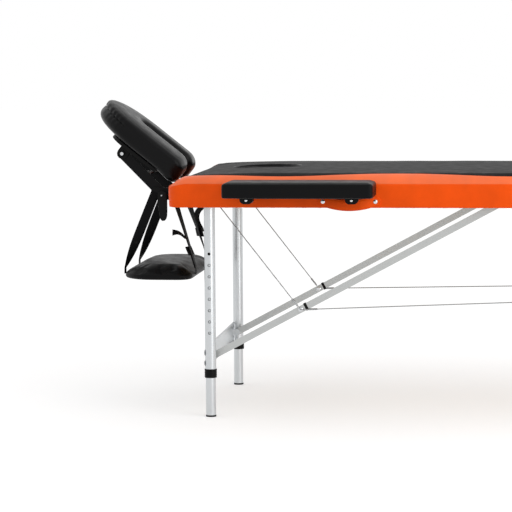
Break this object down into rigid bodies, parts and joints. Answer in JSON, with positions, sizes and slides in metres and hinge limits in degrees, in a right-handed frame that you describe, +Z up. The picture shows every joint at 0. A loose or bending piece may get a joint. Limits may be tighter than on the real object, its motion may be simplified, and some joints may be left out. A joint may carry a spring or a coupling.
{
  "type": "folding massage table",
  "caption": "Two-section folding massage table with padded top, telescopic folding legs, tilting headrest, hanging arm shelf and plug-in armrests.",
  "frame": {"origin": "centre of the overall box on the floor", "axes": "+Z up, +X towards the foot end, the carrying handles on -Y"},
  "size_m": [2.0934, 0.98, 0.8325],
  "materials": {
    "black_vinyl": "soft grained faux leather",
    "orange_vinyl": "soft grained faux leather",
    "plywood": "bare ply",
    "beech": "planed, unfinished",
    "aluminium": "satin anodised",
    "grey_bar": "satin",
    "steel": "zinc plated",
    "black_plastic": "moulded, fine grain",
    "rubber": "matt",
    "webbing": "woven nylon"
  },
  "bodies": {
    "head_half": {"cable_far": "steel", "cable_near": "steel", "head_brace_hanger": "steel", "head_deck": "plywood", "head_far_leg_hanger": "steel", "head_frame": "beech", "head_handle": "orange_vinyl", "head_hinge_leaf": "steel", "head_near_leg_hanger": "steel", "head_pad": "black_vinyl", "head_side_cover": "orange_vinyl"},
    "foot_half": {"foot_brace_hanger": "steel", "foot_deck": "plywood", "foot_far_leg_hanger": "steel", "foot_frame": "beech", "foot_handle": "orange_vinyl", "foot_hinge_leaf": "steel", "foot_near_leg_hanger": "steel", "foot_pad": "black_vinyl", "foot_side_cover": "orange_vinyl"},
    "head_legs": {"head_cross_channel": "aluminium", "head_far_leg": "aluminium", "head_near_leg": "aluminium"},
    "foot_legs": {"foot_cross_channel": "aluminium", "foot_far_leg": "aluminium", "foot_near_leg": "aluminium"},
    "head_lower_braces": {"head_far_lower_brace": "grey_bar", "head_near_lower_brace": "grey_bar"},
    "head_upper_braces": {"head_far_upper_brace": "grey_bar", "head_near_upper_brace": "grey_bar"},
    "foot_lower_braces": {"foot_far_lower_brace": "grey_bar", "foot_near_lower_brace": "grey_bar"},
    "foot_upper_braces": {"foot_far_upper_brace": "grey_bar", "foot_near_upper_brace": "grey_bar"},
    "headrest_base": {"arm_shelf": "black_vinyl", "headrest_base": "black_plastic", "shelf_inner_strap_far": "webbing", "shelf_inner_strap_near": "webbing", "shelf_outer_strap_far": "webbing", "shelf_outer_strap_near": "webbing"},
    "headrest_arm": {"headrest_arm": "black_plastic"},
    "headrest_platform": {"headrest_cushion": "black_vinyl", "headrest_platform": "black_plastic"},
    "headrest_lever": {"headrest_lever": "black_plastic"},
    "armrest_near": {"armrest_near_carrier": "black_plastic", "armrest_near_pad": "black_vinyl"},
    "armrest_far": {"armrest_far_carrier": "black_plastic", "armrest_far_pad": "black_vinyl"},
    "head_near_extension": {"head_near_inner_tube": "aluminium", "head_near_rubber_foot": "rubber"},
    "head_near_button": {"head_near_button": "black_plastic"},
    "head_far_extension": {"head_far_inner_tube": "aluminium", "head_far_rubber_foot": "rubber"},
    "head_far_button": {"head_far_button": "black_plastic"},
    "foot_near_extension": {"foot_near_inner_tube": "aluminium", "foot_near_rubber_foot": "rubber"},
    "foot_near_button": {"foot_near_button": "black_plastic"},
    "foot_far_extension": {"foot_far_inner_tube": "aluminium", "foot_far_rubber_foot": "rubber"},
    "foot_far_button": {"foot_far_button": "black_plastic"}
  },
  "joints": [
    {"name": "table_fold", "type": "hinge", "parent": "head_half", "child": "foot_half", "pos_m": [0.11603, 0, 0.556], "axis": [0, 1, 0], "range_deg": [0, 180], "deforming": ["cable_near", "cable_far"]},
    {"name": "head_leg_fold", "type": "hinge", "parent": "head_half", "child": "head_legs", "pos_m": [-0.71097, 0, 0.589], "axis": [0, -1, 0], "range_deg": [0, 90]},
    {"name": "head_lower_brace_fold", "type": "hinge", "parent": "head_legs", "child": "head_lower_braces", "pos_m": [-0.71047, 0, 0.1565], "axis": [0, -1, 0], "range_deg": [0, 60.51]},
    {"name": "head_upper_brace_fold", "type": "hinge", "parent": "head_half", "child": "head_upper_braces", "pos_m": [0.08003, 0, 0.582], "axis": [0, 1, 0], "range_deg": [0, 29.49]},
    {"name": "foot_leg_fold", "type": "hinge", "parent": "foot_half", "child": "foot_legs", "pos_m": [0.94303, 0, 0.589], "axis": [0, 1, 0], "range_deg": [0, 90]},
    {"name": "foot_lower_brace_fold", "type": "hinge", "parent": "foot_legs", "child": "foot_lower_braces", "pos_m": [0.94253, 0, 0.235], "axis": [0, 1, 0], "range_deg": [0, 65.32]},
    {"name": "foot_upper_brace_fold", "type": "hinge", "parent": "foot_half", "child": "foot_upper_braces", "pos_m": [0.15203, 0, 0.582], "axis": [0, -1, 0], "range_deg": [0, 24.68]},
    {"name": "headrest_slide", "type": "slide", "parent": "head_half", "child": "headrest_base", "axis": [-1, 0, 0], "range_m": [0, 0.1]},
    {"name": "headrest_tilt", "type": "hinge", "parent": "headrest_base", "child": "headrest_arm", "pos_m": [-0.86597, 0, 0.576], "axis": [0, -1, 0], "range_deg": [0, 58]},
    {"name": "platform_tilt", "type": "hinge", "parent": "headrest_arm", "child": "headrest_platform", "pos_m": [-0.977, 0, 0.68898], "axis": [0, -1, 0], "range_deg": [0, 30]},
    {"name": "lever_flip", "type": "hinge", "parent": "headrest_base", "child": "headrest_lever", "pos_m": [-0.86597, -0.1115, 0.576], "axis": [0, 1, 0], "range_deg": [0, 90]},
    {"name": "head_near_extension_slide", "type": "slide", "parent": "head_legs", "child": "head_near_extension", "axis": [0, 0, -1], "range_m": [0, 0.21]},
    {"name": "head_near_button_press", "type": "slide", "parent": "head_legs", "child": "head_near_button", "axis": [0, 1, 0], "range_m": [0, 0.003], "stiffness_N_per_m": 400},
    {"name": "head_far_extension_slide", "type": "slide", "parent": "head_legs", "child": "head_far_extension", "axis": [0, 0, -1], "range_m": [0, 0.21]},
    {"name": "head_far_button_press", "type": "slide", "parent": "head_legs", "child": "head_far_button", "axis": [0, -1, 0], "range_m": [0, 0.003], "stiffness_N_per_m": 400},
    {"name": "foot_near_extension_slide", "type": "slide", "parent": "foot_legs", "child": "foot_near_extension", "axis": [0, 0, -1], "range_m": [0, 0.21]},
    {"name": "foot_near_button_press", "type": "slide", "parent": "foot_legs", "child": "foot_near_button", "axis": [0, 1, 0], "range_m": [0, 0.003], "stiffness_N_per_m": 400},
    {"name": "foot_far_extension_slide", "type": "slide", "parent": "foot_legs", "child": "foot_far_extension", "axis": [0, 0, -1], "range_m": [0, 0.21]},
    {"name": "foot_far_button_press", "type": "slide", "parent": "foot_legs", "child": "foot_far_button", "axis": [0, -1, 0], "range_m": [0, 0.003], "stiffness_N_per_m": 400},
    {"name": "armrest_near_slide", "type": "slide", "parent": "head_half", "child": "armrest_near", "axis": [0, -1, 0], "range_m": [0, 0.03]},
    {"name": "armrest_far_slide", "type": "slide", "parent": "head_half", "child": "armrest_far", "axis": [0, 1, 0], "range_m": [0, 0.03]}
  ],
  "couplings": [
    {"joint": "head_leg_fold", "follows": "table_fold", "ratio": 0.5},
    {"joint": "head_lower_brace_fold", "follows": "table_fold", "ratio": 0.33616},
    {"joint": "head_upper_brace_fold", "follows": "table_fold", "ratio": 0.16384},
    {"joint": "foot_leg_fold", "follows": "table_fold", "ratio": 0.5},
    {"joint": "foot_lower_brace_fold", "follows": "table_fold", "ratio": 0.36287},
    {"joint": "foot_upper_brace_fold", "follows": "table_fold", "ratio": 0.13713},
    {"joint": "headrest_slide", "follows": "table_fold", "m_per_rad": 0.031831}
  ]
}
